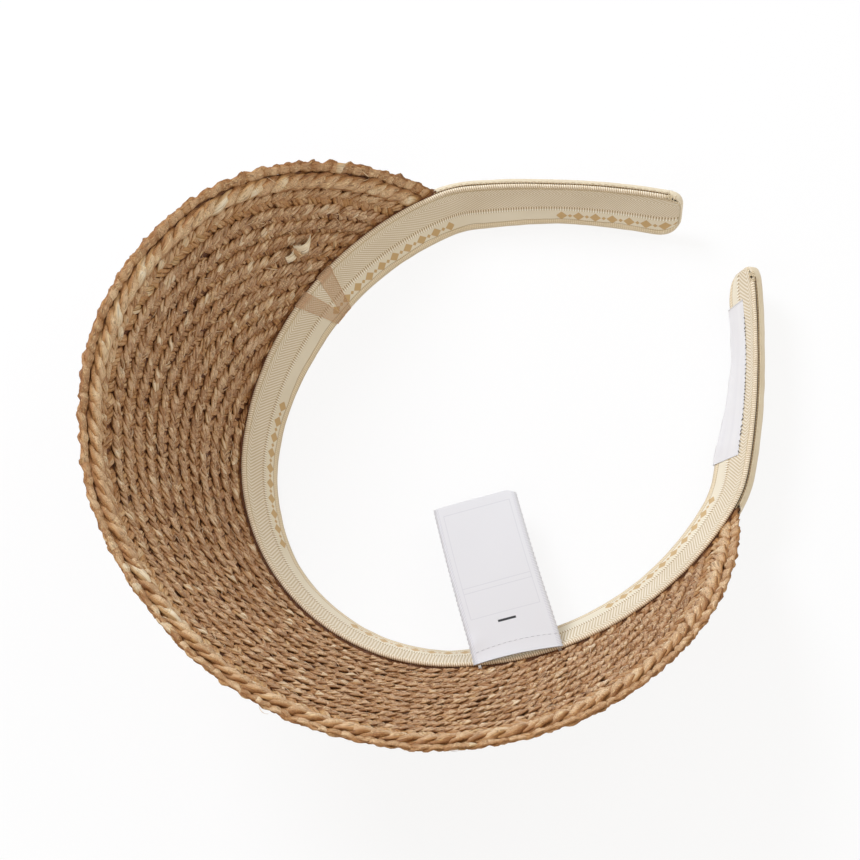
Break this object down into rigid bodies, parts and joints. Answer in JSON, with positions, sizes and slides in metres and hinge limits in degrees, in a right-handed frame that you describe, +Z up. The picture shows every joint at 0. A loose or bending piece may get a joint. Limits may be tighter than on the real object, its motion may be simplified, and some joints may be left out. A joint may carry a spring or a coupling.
{
  "type": "sun visor",
  "caption": "Open-back sun visor with a wide plaited raffia brim, a springy cloth-covered headband, a woven sweatband tape, a swinging satin label and a sheer ribbon.",
  "frame": {"origin": "on the ground under the middle of the visor's outline, lying crown side down on the band's crown edge", "axes": "+Z up from the crown side to the brim side, -Y the wearer's front with the brim, +X the side that carries both labels"},
  "size_m": [0.2264, 0.2464, 0.1003],
  "materials": {
    "twill_tape": "cream herringbone twill",
    "ribbed_piping": "cream ribbed cord",
    "stiff_core": "flexible plastic strip",
    "cover_cloth": "cream cotton",
    "raffia_dark": "plaited raffia, brown",
    "raffia_pale": "plaited raffia, straw",
    "raffia_tan": "plaited raffia, tan",
    "gauze_ribbon": "sheer brown gauze",
    "white_satin": "white satin",
    "white_thread": "sewing thread"
  },
  "bodies": {
    "visor": {"sweatband_tape": "twill_tape", "sweatband_piping": "ribbed_piping", "band_core": "stiff_core", "outer_cover": "cover_cloth", "rim_edge_braid": "raffia_dark", "rim_rope_braid": "raffia_pale", "flat_plait_braid": "raffia_pale", "brim_braid_row_01": "raffia_tan", "brim_braid_row_02": "raffia_tan", "brim_braid_row_03": "raffia_tan", "brim_braid_row_04": "raffia_tan", "brim_braid_row_05": "raffia_tan", "brim_braid_row_06": "raffia_tan", "brim_braid_row_07": "raffia_tan", "brim_braid_row_08": "raffia_tan", "brim_braid_row_09": "raffia_tan", "brim_braid_row_10": "raffia_tan", "brim_braid_row_11": "raffia_tan", "brim_braid_row_12": "raffia_tan", "raffia_knot": "raffia_pale", "sheer_ribbon": "gauze_ribbon", "size_label": "white_satin", "care_label_tacks": "white_thread"},
    "care_label_flap": {"care_label": "white_satin"}
  },
  "joints": [
    {"name": "care_label_swing", "type": "hinge", "parent": "visor", "child": "care_label_flap", "pos_m": [0.06681, -0.03306, 0.01989], "axis": [0.4555, 0.8902, 0], "range_deg": [-40, 110], "stiffness_Nm_per_rad": 0.003}
  ]
}
